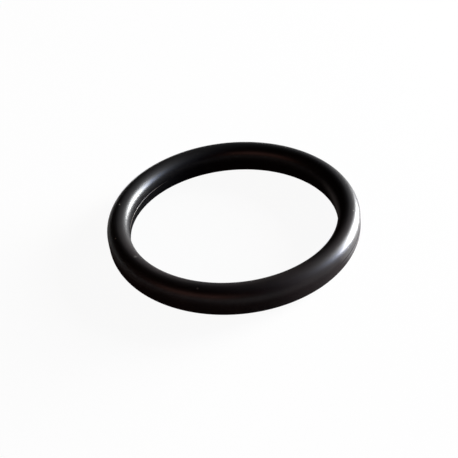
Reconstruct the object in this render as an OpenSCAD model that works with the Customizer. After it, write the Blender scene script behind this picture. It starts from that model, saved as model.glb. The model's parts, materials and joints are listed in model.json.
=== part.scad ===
// Moulded rubber ring seal with an oval section: round crowns, straight flanks,
// and the thin flash line that the two halves of its mould leave all the way round.
// The origin is the centre of the ring on its parting plane, and +Z is the ring's axis.

/* [Ring] */
// Inside diameter, measured between the inner flanks
ring_id = 65; // [30:0.5:150]

/* [Section] */
// Width of the section across its flanks, in the radial direction
section_w = 7; // [4:0.1:12]
// Height of each straight flank, between the two round crowns
flank_h = 3; // [1:0.1:8]

/* [Flash line] */
// How far the flash line stands out of a flank
flash_out = 0.1; // [0.04:0.01:0.3]
// Width of the flash line along the axis
flash_w = 0.24; // [0.12:0.02:0.5]

/* [Hidden] */
$fn = 256;

crown_r = section_w / 2;
ring_r = ring_id / 2 + crown_r;
flash_r = flash_w / 2;
flash_tip = crown_r + flash_out - flash_r;

// The rubber without its flash: straight flanks between two round crowns
module rubber() {
    square([section_w, flank_h], center = true);
    for (side = [-1, 1])
        translate([0, side * flank_h / 2])
            circle(r = crown_r);
}

// The flash: a thin bar across the section on the parting plane,
// of which only the two rounded edges come out of the flanks
module flash() {
    square([2 * flash_tip, flash_w], center = true);
    for (side = [-1, 1])
        translate([side * flash_tip, 0])
            circle(r = flash_r, $fn = 32);
}

// The section, centred on its own middle, with X pointing away from the ring's axis
module section() {
    rubber();
    flash();
}

module o_ring() {
    color("#151414")
        rotate_extrude()
            translate([ring_r, 0])
                section();
}

o_ring();
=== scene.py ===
import json
import math

import bpy
import numpy as np
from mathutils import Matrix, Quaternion, Vector


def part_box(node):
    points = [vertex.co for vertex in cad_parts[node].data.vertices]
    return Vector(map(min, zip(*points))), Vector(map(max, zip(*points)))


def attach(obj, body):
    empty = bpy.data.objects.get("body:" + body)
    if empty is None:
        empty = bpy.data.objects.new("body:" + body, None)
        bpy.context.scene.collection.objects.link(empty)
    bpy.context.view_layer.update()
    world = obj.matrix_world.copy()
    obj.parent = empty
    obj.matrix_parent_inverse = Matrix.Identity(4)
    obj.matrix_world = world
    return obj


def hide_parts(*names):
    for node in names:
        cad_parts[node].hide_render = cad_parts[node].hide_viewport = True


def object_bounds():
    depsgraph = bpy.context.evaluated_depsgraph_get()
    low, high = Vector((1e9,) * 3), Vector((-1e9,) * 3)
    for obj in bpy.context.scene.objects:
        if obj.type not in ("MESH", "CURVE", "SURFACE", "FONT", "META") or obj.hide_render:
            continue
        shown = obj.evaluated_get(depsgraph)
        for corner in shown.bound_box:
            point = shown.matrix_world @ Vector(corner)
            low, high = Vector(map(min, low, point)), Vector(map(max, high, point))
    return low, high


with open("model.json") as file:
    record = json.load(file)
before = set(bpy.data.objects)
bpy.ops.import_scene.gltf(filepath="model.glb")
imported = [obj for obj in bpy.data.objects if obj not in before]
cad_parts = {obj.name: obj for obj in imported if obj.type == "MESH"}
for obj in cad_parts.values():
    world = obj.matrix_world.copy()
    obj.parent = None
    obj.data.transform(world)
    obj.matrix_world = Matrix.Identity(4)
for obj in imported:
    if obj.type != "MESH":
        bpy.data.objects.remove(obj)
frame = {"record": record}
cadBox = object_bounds()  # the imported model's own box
mm = 0.001            # Blender works in metres
mountSizes = {mount["name"]: mount["dims"] for mount in frame["record"]["mounts"]}
print("frame loaded")


def hexToLinear(code):
    # sRGB hex to linear light: the usual curve, with its straight foot near black
    parts = [int(code[i:i + 2], 16) / 255 for i in (1, 3, 5)]
    return [p / 12.92 if p <= 0.04045 else ((p + 0.055) / 1.055) ** 2.4 for p in parts] + [1.0]


def addNode(tree, kind, inputs=None, **settings):
    # one node, with its settings, and with each input a plain value or another node's output
    node = tree.nodes.new(kind)
    for name, value in settings.items():
        setattr(node, name, value)
    for socket, value in (inputs or {}).items():
        if isinstance(value, bpy.types.NodeSocket):
            tree.links.new(value, node.inputs[socket])
        else:
            node.inputs[socket].default_value = value
    return node


def newMaterial(name):
    material = bpy.data.materials.new(name)
    material.use_nodes = True
    material.node_tree.nodes.clear()
    return material, material.node_tree


def fromAzimuth(azimuth, elevation, distance):
    # azimuth 0 is the camera's side and 90 is to its right; both in degrees
    a, e = math.radians(azimuth), math.radians(elevation)
    return distance * Vector((math.sin(a) * math.cos(e), -math.cos(a) * math.cos(e), math.sin(e)))


# The camera, as the photo's perspective gives it
cameraView = {
    "distance": 307.3 * mm,
    "elevation": 37.775,               # degrees, and so is the roll
    "roll": -5.69,
    "lens": 77.12,                     # mm, and so is the sensor
    "sensorWidth": 36.0,
    "clipStart": 10 * mm,
    "imageSize": 458,                  # px
    "ringCentre": (233.46, 220.82),    # px from the image's upper left corner
}


def addCamera(view):
    camera = bpy.data.objects.new("camera", bpy.data.cameras.new("camera"))
    bpy.context.scene.collection.objects.link(camera)
    camera.data.lens = view["lens"]
    camera.data.sensor_width = view["sensorWidth"]
    camera.data.clip_start = view["clipStart"]
    camera.location = fromAzimuth(0, view["elevation"], view["distance"])
    focal = view["lens"] / view["sensorWidth"] * view["imageSize"]
    half = view["imageSize"] / 2
    across, down = view["ringCentre"]
    # the direction, seen from the camera, in which the ring's centre has to lie
    seen = Vector(((across - half) / focal, (half - down) / focal, -1.0)).normalized()
    camera.rotation_mode = "QUATERNION"
    camera.rotation_quaternion = (
        (-camera.location).to_track_quat("-Z", "Y")
        @ Quaternion((0, 0, 1), math.radians(view["roll"]))
        @ seen.rotation_difference(Vector((0, 0, -1)))
    )
    bpy.context.scene.camera = camera


addCamera(cameraView)
print("camera placed")


# The ring's surface. Its flanks are the frame's two mounts, so the sizes are theirs
ring = {
    "innerRadius": mountSizes["inner_flank"]["r_mm"] * mm,
    "outerRadius": mountSizes["outer_flank"]["r_mm"] * mm,
    "flankHeight": mountSizes["inner_flank"]["length_mm"] * mm,
    "flashHalfWidth": 0.22 * mm,
    # where each flank still shows the flash line, in degrees round the ring from +X, and what is left of it
    # there. Less than 0 is a shallow groove, where it has torn out of the rubber
    "innerFlash": {"at": 156, "left": 1.0},
    "outerFlash": {"at": -22, "left": -0.9},
    "flashFades": 24,          # the higher, the sooner it is worn away to either side
    "flashUneven": 0.12,       # share of its height that comes and goes round the ring
    "flashWaves": (7, 23),     # how many times that does so in one turn, slowly and quickly
    "halvesShift": 0.06 * mm,  # how far the mould's upper half sat off the lower one
    "halvesShiftTo": 170,      # degrees round the ring from +X
    "halvesStep": 0.1 * mm,    # how far above and below the parting plane the step between them reaches
    "slack": 0.03 * mm,        # moulded rubber is never quite round: how far it falls inside its size
    "slackWaves": (2, 5),      # how many times that comes and goes in one turn, slowly and quickly
    "stepsRound": 600,
    "stepsCrown": 46,
    "stepsFlank": 36,
    "flankCrowding": 1.6,      # the higher, the closer the flank's points lie to the parting plane
}


def sectionLine(size):
    # The section as one closed line, anticlockwise from the top of the outer flank: half a circle over the
    # top, a straight line down the inner flank, half a circle below and a straight line up the outer flank.
    # It gives x and z from the section's middle, and the outward normal
    crown = (size["outerRadius"] - size["innerRadius"]) / 2
    half = size["flankHeight"] / 2
    arc = np.arange(size["stepsCrown"]) / size["stepsCrown"] * np.pi
    down = 1 - 2 * np.arange(size["stepsFlank"]) / size["stepsFlank"]
    down = np.sign(down) * np.abs(down) ** size["flankCrowding"]
    straight, level = np.ones(down.size), np.zeros(down.size)
    nx = np.concatenate([np.cos(arc), -straight, -np.cos(arc), straight])
    nz = np.concatenate([np.sin(arc), level, -np.sin(arc), level])
    z = np.concatenate([half + crown * np.sin(arc), half * down, -half - crown * np.sin(arc), -half * down])
    return crown * nx, z, nx, nz


def comeAndGo(angle, waves, starts):
    # Between 0 and 1 round the ring: 0.5 + 0.3 sin(slow angle + start) + 0.2 sin(quick angle + start).
    # The starts are free, and differ from flank to flank and over the crowns
    slow, quick = (np.sin(times * angle + start) for times, start in zip(waves, starts))
    return 0.5 + 0.3 * slow + 0.2 * quick


def ringSurface(size, flashOut):
    # Point (round, along): the section line turned about Z by the angle round. It is pushed out along its
    # normal by the flash line, a bump (1 - (z / halfWidth)^2)^2 on each flank whose height fades round the
    # ring as ((1 + cos(angle from its place)) / 2)^fades. The upper half is moved sideways against the lower
    # one. Half of that move and some slow waves draw the surface in, so that it stays inside its size. The
    # second result is how much of the flash line each point is on
    x, z, nx, nz = (line[None, :] for line in sectionLine(size))
    angle = np.arange(size["stepsRound"])[:, None] / size["stepsRound"] * 2 * np.pi
    flank = np.sign(nx)  # -1 inside and 1 outside
    bump = np.clip(1 - (z / size["flashHalfWidth"]) ** 2, 0, 1) ** 2
    inner, outer = size["innerFlash"], size["outerFlash"]
    at, left = (np.where(flank < 0, inner[key], outer[key]) for key in ("at", "left"))
    kept = left * (0.5 + 0.5 * np.cos(angle - np.radians(at))) ** size["flashFades"]
    swell = comeAndGo(angle, size["flashWaves"], (2.1 * flank, 1.3 + 4.0 * flank))
    onFlash = bump * kept * (1 - size["flashUneven"] * swell)
    out = flashOut * onFlash - size["slack"] * comeAndGo(angle, size["slackWaves"], (0.7, 4.1 * nz))
    sideways = np.clip(z / size["halvesStep"], -1, 1) * np.cos(angle - np.radians(size["halvesShiftTo"]))
    middle = (size["innerRadius"] + size["outerRadius"]) / 2
    radius = middle + x + nx * out + size["halvesShift"] / 2 * (sideways - nx)
    return np.stack([radius * np.cos(angle), radius * np.sin(angle), z + nz * out], axis=-1), onFlash


def closedGridMesh(name, points):
    # a grid of points that closes on itself both ways, as quads whose faces look outwards
    rows, columns = points.shape[:2]
    i, j = np.meshgrid(np.arange(rows), np.arange(columns), indexing="ij")
    here, ahead = i * columns, (i + 1) % rows * columns
    beside = (j + 1) % columns
    quads = np.stack([here + j, ahead + j, ahead + beside, here + beside], -1)
    mesh = bpy.data.meshes.new(name)
    mesh.from_pydata(points.reshape(-1, 3).tolist(), [], quads.reshape(-1, 4).tolist())
    mesh.polygons.foreach_set("use_smooth", np.ones(rows * columns, bool))
    # u runs once round the ring and v once round its section
    u = np.stack([i, i + 1, i + 1, i], -1) / rows
    v = np.stack([j, j, j + 1, j + 1], -1) / columns
    mesh.uv_layers.new(name="roundAndAlong").data.foreach_set("uv", np.stack([u, v], -1).ravel())
    mesh.update()
    return mesh


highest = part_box("o_ring")[1]  # the flash line is what stands out furthest
ringPoints, flashLeft = ringSurface(ring, highest.x - ring["outerRadius"])
rubberRing = bpy.data.objects.new("moulded_ring", closedGridMesh("moulded_ring", ringPoints))
rubberRing.data.attributes.new("flashLeft", "FLOAT", "POINT").data.foreach_set("value", flashLeft.ravel())
bpy.context.scene.collection.objects.link(rubberRing)
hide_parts("o_ring")
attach(rubberRing, "root")
print("ring made:", len(rubberRing.data.polygons) * 2, "triangles")


# Black nitrile rubber, compression moulded in a steel mould and then tumbled to take the flash off: near
# black and quite matt, so that the flanks stay dark. Its own wax has come to the surface and is rubbed to a
# satin film, which gives the soft bright highlights. The film is whole on the crowns and gone from the
# flanks, but for what a hand has rubbed down the right end. A faint brown tint on the front side is a painted
# reflection of brown surroundings, and there is a little dust. Places round the ring are degrees from +X
rubber = {
    "colour": "#080707",
    "roughness": 0.87,
    "specular": 0.04,
    "ior": 1.5,
    # a painted reflection: a brown tint on the front side, in patches, standing in for brown surroundings
    # mirrored in the rubber
    "paintedReflectionColour": "#1a1413",
    "paintedReflectionTo": 270,            # degrees, the side that has the painted reflection
    "paintedReflectionFrom": -4.0,         # mm towards that side from the ring's centre, where it begins
    "paintedReflectionFull": 26.0,         # mm, where it is whole
    "paintedReflectionLeast": 0.1,         # share of it that the far side has
    "paintedReflectionPatch": 14.0,        # mm, size of the patches in which it comes and goes
    "paintedReflectionPale": 0.3,          # share of it that is left between them
    # the flash line's rubber and painted highlight, by how much of the line is left. Less than 0 is the torn
    # groove
    "flashRubberAndHighlightColour": "#4b443d",
    "flashBareFrom": 0.2,      # where its paler colour and film begin
    "flashBareAt": 0.42,       # and where they are whole
    "flashFilm": 0.22,         # how whole the film is on it there
    "tornFrom": -0.02,         # where the groove begins to be without film
    "tornAt": -0.3,            # and where it has none
    "film": 0.57,              # how whole the wax film is on the crowns
    "filmRoughness": 0.373,
    "filmIor": 1.5,
    "mattUpTo": -0.2,          # mm above the parting plane, where the film begins
    "satinFrom": 4.45,         # mm above it, where the film is whole
    "mattDownTo": 3.0,         # mm below it, the same on the lower crown, which rests in the dust
    "satinBelow": 4.8,
    "heldFrom": 29.5,          # mm along X, past which a hand has rubbed the film further down
    "heldLean": 1.0,           # mm further down for each mm along X
    "filmThickTo": 153,        # degrees, the side where it has more of the film
    "filmThicker": 0.2,        # how much more it has there, and less on the far side
    # where finger and thumb have rubbed up more of the film: degrees, mm from the ring's centre where it
    # begins and where it is thickest, and how much more there is
    "rubbed": [(-22, 35.5, 39.0, 0.45), (136, 31.0, 35.5, 0.35)],
    "smudge": 0.06,            # how much the film and the rubber's roughness wander
    "smudgeSize": 5.0,         # mm
    "lines": 0.05,             # how much the film changes from one turning line of the mould to the next
    "linePitch": 0.45,         # mm, drawn coarser than the real 0.05 so that it shows
    "lineDepth": 0.0012,       # mm
    "lineDrift": 0.02,         # how fast the lines change along X, as a share of how fast they do across
    "grain": 0.35,             # mm, drawn coarser than the real 0.05 so that it shows
    "grainDepth": 0.0012,      # mm
}

# Specks of dust: place in mm, radius in mm, and how much of the rubber they hide. From its solid middle, a
# share of the radius, each one fades to its edge
dust = {
    "colour": "#b5b1a6",
    "specks": [
        ((-35.38, 7.81, 4.98), 0.21, 0.90),
        ((-36.12, -9.04, 4.74), 0.30, 0.60),
        ((-29.83, -18.74, 4.89), 0.60, 0.07),
        ((36.68, -6.89, 4.71), 0.26, 0.30),
        ((-11.98, -35.41, 4.69), 0.36, 0.12),
    ],
    "solid": 0.5,
    "fineCell": 3.1,           # mm, size of the cells that hold a fine speck each, few at the surface
    "fineRadius": 0.07,        # mm
    "fineShare": 0.35,
    "fineSolid": 0.4,
}

noiseLow, noiseHigh = 0.3, 0.7  # nearly all that a noise texture gives lies between these


def makeRubber(look, specks):
    material, tree = newMaterial("mouldedNitrileRubber")
    place = addNode(tree, "ShaderNodeTexCoord").outputs["Object"]
    axes = addNode(tree, "ShaderNodeSeparateXYZ", {"Vector": place}).outputs
    flash = addNode(tree, "ShaderNodeAttribute", attribute_name="flashLeft").outputs["Fac"]
    onFlash = addNode(tree, "ShaderNodeMapRange", {
        "Value": flash, "From Min": look["flashBareFrom"], "From Max": look["flashBareAt"]}).outputs["Result"]

    # how far each point lies from the ring's centre towards each side that the finish leans to
    towards = {}
    for side in [look["paintedReflectionTo"], look["filmThickTo"]] + [rubbed[0] for rubbed in look["rubbed"]]:
        way = (math.cos(math.radians(side)), math.sin(math.radians(side)), 0)
        leaning = addNode(tree, "ShaderNodeVectorMath", {0: place, 1: way}, operation="DOT_PRODUCT")
        towards[side] = leaning.outputs["Value"]

    # the painted reflection: a brown tint in patches on the ring's front side
    patches = addNode(tree, "ShaderNodeTexNoise", {
        "Vector": place, "Scale": 1 / (look["paintedReflectionPatch"] * mm), "Detail": 3.0})
    patchy = addNode(tree, "ShaderNodeMapRange", {
        "Value": patches.outputs["Fac"], "From Min": noiseLow, "From Max": noiseHigh,
        "To Min": look["paintedReflectionPale"], "To Max": 1.0})
    paintedReflectionSide = addNode(tree, "ShaderNodeMapRange", {
        "Value": towards[look["paintedReflectionTo"]],
        "From Min": look["paintedReflectionFrom"] * mm, "From Max": look["paintedReflectionFull"] * mm,
        "To Min": look["paintedReflectionLeast"], "To Max": 1.0}, interpolation_type="SMOOTHSTEP")
    paintedReflection = addNode(tree, "ShaderNodeMath", {
        0: patchy.outputs["Result"], 1: paintedReflectionSide.outputs["Result"]}, operation="MULTIPLY").outputs[0]

    # the dust: what a speck hides, whether it is one of the placed ones or the fine one of a cell
    near = []
    for spot, radius, share in specks["specks"]:
        away = addNode(tree, "ShaderNodeVectorMath", {
            0: place, 1: [c * mm for c in spot]}, operation="DISTANCE")
        near.append((away.outputs["Value"], radius * mm, share, specks["solid"]))
    cells = addNode(tree, "ShaderNodeTexVoronoi", {"Vector": place, "Scale": 1 / (specks["fineCell"] * mm)})
    near.append((cells.outputs["Distance"], specks["fineRadius"] / specks["fineCell"],
                 specks["fineShare"], specks["fineSolid"]))
    hidden = 0.0
    for distance, radius, share, solid in near:
        speck = addNode(tree, "ShaderNodeMapRange", {
            "Value": distance, "From Min": solid * radius, "From Max": radius,
            "To Min": share, "To Max": 0.0})
        hidden = addNode(tree, "ShaderNodeMath", {
            0: hidden, 1: speck.outputs["Result"]}, operation="MAXIMUM").outputs[0]

    # colour: near black, browner in the painted reflection in front, dark grey on the bare flash line and
    # pale under the dust
    colour = hexToLinear(look["colour"])
    # the flash line's dark grey stands for its rough rubber and a painted highlight
    tints = ((paintedReflection, look["paintedReflectionColour"]), (onFlash, look["flashRubberAndHighlightColour"]), (hidden, specks["colour"]))
    for share, tint in tints:
        colour = addNode(tree, "ShaderNodeMix", {
            "Factor": share, "A": colour, "B": hexToLinear(tint)}, data_type="RGBA").outputs["Result"]

    # the wax film by height: none on the flanks and whole on the crowns, with the upper crown's share drawn
    # down where the ring was held, and a little on the bare flash line
    held = addNode(tree, "ShaderNodeMath", {0: axes["X"], 1: look["heldFrom"] * mm}, operation="SUBTRACT")
    held = addNode(tree, "ShaderNodeMath", {0: held.outputs[0], 1: 0.0}, operation="MAXIMUM")
    above = addNode(tree, "ShaderNodeMath", {
        0: held.outputs[0], 1: look["heldLean"], 2: axes["Z"]}, operation="MULTIPLY_ADD").outputs[0]
    film = addNode(tree, "ShaderNodeMath", {
        0: onFlash, 1: look["flashFilm"]}, operation="MULTIPLY").outputs[0]
    for height, matt, satin in ((above, look["mattUpTo"], look["satinFrom"]),
                                (axes["Z"], -look["mattDownTo"], -look["satinBelow"])):
        crown = addNode(tree, "ShaderNodeMapRange", {
            "Value": height, "From Min": matt * mm, "From Max": satin * mm,
            "To Min": 0.0, "To Max": look["film"]}, interpolation_type="SMOOTHSTEP")
        film = addNode(tree, "ShaderNodeMath", {
            0: film, 1: crown.outputs["Result"]}, operation="ADD").outputs[0]

    # and what changes it: gone from the torn groove, thicker towards one side and in the rubbed places, and
    # a little thinner and thicker in smudges and along the turning lines, which lie round the ring's axis
    smudges = addNode(tree, "ShaderNodeTexNoise", {
        "Vector": place, "Scale": 1 / (look["smudgeSize"] * mm), "Detail": 4.0})
    flat = addNode(tree, "ShaderNodeCombineXYZ", {"X": axes["X"], "Y": axes["Y"]})
    radius = addNode(tree, "ShaderNodeVectorMath", {0: flat.outputs["Vector"]}, operation="LENGTH")
    drift = addNode(tree, "ShaderNodeMath", {0: axes["X"], 1: look["lineDrift"]}, operation="MULTIPLY")
    lineAt = addNode(tree, "ShaderNodeCombineXYZ", {
        "X": radius.outputs["Value"], "Y": axes["Z"], "Z": drift.outputs[0]})
    lines = addNode(tree, "ShaderNodeTexNoise", {
        "Vector": lineAt.outputs["Vector"], "Scale": 1 / (look["linePitch"] * mm), "Detail": 2.0})
    middle = (ring["innerRadius"] + ring["outerRadius"]) / 2
    shares = [addNode(tree, "ShaderNodeMapRange", {
        "Value": flash, "From Min": look["tornAt"], "From Max": look["tornFrom"]})]
    shares.append(addNode(tree, "ShaderNodeMapRange", {
        "Value": towards[look["filmThickTo"]], "From Min": -middle, "From Max": middle,
        "To Min": 1 - look["filmThicker"], "To Max": 1 + look["filmThicker"]}))
    for side, begins, thickest, more in look["rubbed"]:
        shares.append(addNode(tree, "ShaderNodeMapRange", {
            "Value": towards[side], "From Min": begins * mm, "From Max": thickest * mm,
            "To Min": 1.0, "To Max": 1 + more}, interpolation_type="SMOOTHSTEP"))
    for pattern, strength in ((smudges, look["smudge"]), (lines, look["lines"])):
        shares.append(addNode(tree, "ShaderNodeMapRange", {
            "Value": pattern.outputs["Fac"], "From Min": noiseLow, "From Max": noiseHigh,
            "To Min": 1 - strength, "To Max": 1 + strength}))
    for share in shares:
        film = addNode(tree, "ShaderNodeMath", {
            0: film, 1: share.outputs["Result"]}, operation="MULTIPLY").outputs[0]
    rough = addNode(tree, "ShaderNodeMapRange", {
        "Value": smudges.outputs["Fac"], "From Min": noiseLow, "From Max": noiseHigh,
        "To Min": look["roughness"] - look["smudge"], "To Max": look["roughness"]})

    # relief: the turning lines that the mould leaves, and the fine grain
    grain = addNode(tree, "ShaderNodeTexNoise", {
        "Vector": place, "Scale": 1 / (look["grain"] * mm), "Detail": 3.0})
    lineBump = addNode(tree, "ShaderNodeBump", {
        "Height": lines.outputs["Fac"], "Distance": look["lineDepth"] * mm})
    bump = addNode(tree, "ShaderNodeBump", {
        "Height": grain.outputs["Fac"], "Distance": look["grainDepth"] * mm,
        "Normal": lineBump.outputs["Normal"]})
    surface = addNode(tree, "ShaderNodeBsdfPrincipled", {
        "Base Color": colour, "Roughness": rough.outputs["Result"], "IOR": look["ior"],
        "Specular IOR Level": look["specular"], "Normal": bump.outputs["Normal"],
        "Coat Weight": film, "Coat Roughness": look["filmRoughness"], "Coat IOR": look["filmIor"]})
    addNode(tree, "ShaderNodeOutputMaterial", {"Surface": surface.outputs["BSDF"]})
    return material


rubberRing.data.materials.append(makeRubber(rubber, dust))
print("rubber finished")


# A painted board for the floor: smooth and pale, so that the camera sees it all but plain white
floor = {
    "size": 6.0,               # m
    "colour": "#f7f4ee",
    "roughness": 0.3,
    "whiteShare": 0.94,        # how far the board shows plain white, which pales its shadow
    "mirroredShare": 0.10,     # the same where it is mirrored in the rubber, which shows that shadow too
}

# The lights, in metres away and in degrees as the ring's centre sees them: a low window to the right and a
# little behind, which gives the highlights, a narrow bright one under it, which draws them down to the
# flanks, blue sky beside it, which gives them their blue ends, and a weak warm one from the front left. Each
# has its radiance, or the level to which it lights a level board
lights = {
    "windowLight": {"azimuth": 114.0, "elevation": 11.3, "distance": 1.6, "width": 21.5, "height": 33.0,
                    "boardLevel": 0.66, "colour": "#fcfeff"},
    "lowFill": {"azimuth": 115.5, "elevation": 3.5, "distance": 1.6, "width": 38.4, "height": 6.0,
                "radiance": 195.0, "colour": "#fdfeff"},
    "skyFill": {"azimuth": 95.0, "elevation": 13.0, "distance": 1.6, "width": 20.0, "height": 24.0,
                "radiance": 11.0, "colour": "#68a5ff"},
    "warmFill": {"azimuth": -35.0, "elevation": 20.0, "distance": 1.6, "width": 60.0, "height": 22.0,
                 "radiance": 1.3, "colour": "#ffb4a4"},
}
room = {"colour": "#e6cdbd", "strength": 0.01}


def addFloor(board, height):
    half = board["size"] / 2
    corners = [(-half, -half, height), (half, -half, height), (half, half, height), (-half, half, height)]
    mesh = bpy.data.meshes.new("floor")
    mesh.from_pydata(corners, [], [(0, 1, 2, 3)])
    material, tree = newMaterial("palePaintedBoard")
    surface = addNode(tree, "ShaderNodeBsdfPrincipled", {
        "Base Color": hexToLinear(board["colour"]), "Roughness": board["roughness"]})
    rays = addNode(tree, "ShaderNodeLightPath").outputs
    mirrored = addNode(tree, "ShaderNodeMath", {
        0: rays["Is Glossy Ray"], 1: rays["Is Transmission Ray"]}, operation="MAXIMUM")
    mirrored = addNode(tree, "ShaderNodeMath", {
        0: mirrored.outputs[0], 1: board["mirroredShare"]}, operation="MULTIPLY")
    share = addNode(tree, "ShaderNodeMath", {
        0: rays["Is Camera Ray"], 1: board["whiteShare"], 2: mirrored.outputs[0]}, operation="MULTIPLY_ADD")
    white = addNode(tree, "ShaderNodeEmission", {"Strength": 1.0})
    mixed = addNode(tree, "ShaderNodeMixShader", {
        0: share.outputs[0], 1: surface.outputs["BSDF"], 2: white.outputs["Emission"]})
    addNode(tree, "ShaderNodeOutputMaterial", {"Surface": mixed.outputs["Shader"]})
    mesh.materials.append(material)
    flat = bpy.data.objects.new("floor", mesh)
    bpy.context.scene.collection.objects.link(flat)


def radianceForLevel(light, width, height, steps=60):
    # A level board at the ring's centre is lit to radiance * area / pi times the mean over the pane of
    # rise * distance / way^4, where rise is how high each of its points stands and way how far off it is
    share = (np.arange(steps) + 0.5) / steps - 0.5
    across, up = np.meshgrid(share * width, share * height)
    e, distance = math.radians(light["elevation"]), light["distance"]
    rise = distance * math.sin(e) + up * math.cos(e)
    waySquared = across ** 2 + rise ** 2 + (distance * math.cos(e) - up * math.sin(e)) ** 2
    reach = (np.clip(rise, 0, None) * distance / waySquared ** 2).mean()
    return light["boardLevel"] * math.pi / (reach * width * height)


def addPane(name, light):
    # a soft rectangular light that faces the ring's centre
    width, height = (2 * light["distance"] * math.tan(math.radians(angle / 2))
                     for angle in (light["width"], light["height"]))
    radiance = light["radiance"] if "radiance" in light else radianceForLevel(light, width, height)
    lamp = bpy.data.lights.new(name, "AREA")
    lamp.shape = "RECTANGLE"
    lamp.size, lamp.size_y = width, height
    lamp.energy = radiance * math.pi * width * height  # watts, for that radiance
    lamp.color = hexToLinear(light["colour"])[:3]
    pane = bpy.data.objects.new(name, lamp)
    pane.location = fromAzimuth(light["azimuth"], light["elevation"], light["distance"])
    pane.rotation_euler = (-pane.location).to_track_quat("-Z", "Y").to_euler()
    bpy.context.scene.collection.objects.link(pane)
    print(name, "radiance", round(radiance, 2))


def addRoom(look):
    # the dim light that comes from everywhere else
    world = bpy.data.worlds.new("room")
    world.use_nodes = True
    world.node_tree.nodes.clear()
    glow = addNode(world.node_tree, "ShaderNodeBackground", {
        "Color": hexToLinear(look["colour"]), "Strength": look["strength"]})
    addNode(world.node_tree, "ShaderNodeOutputWorld", {"Surface": glow.outputs["Background"]})
    bpy.context.scene.world = world


addFloor(floor, cadBox[0].z)
for name, light in lights.items():
    addPane(name, light)
addRoom(room)
bpy.context.scene.view_settings.view_transform = "Standard"
print("floor and light set")
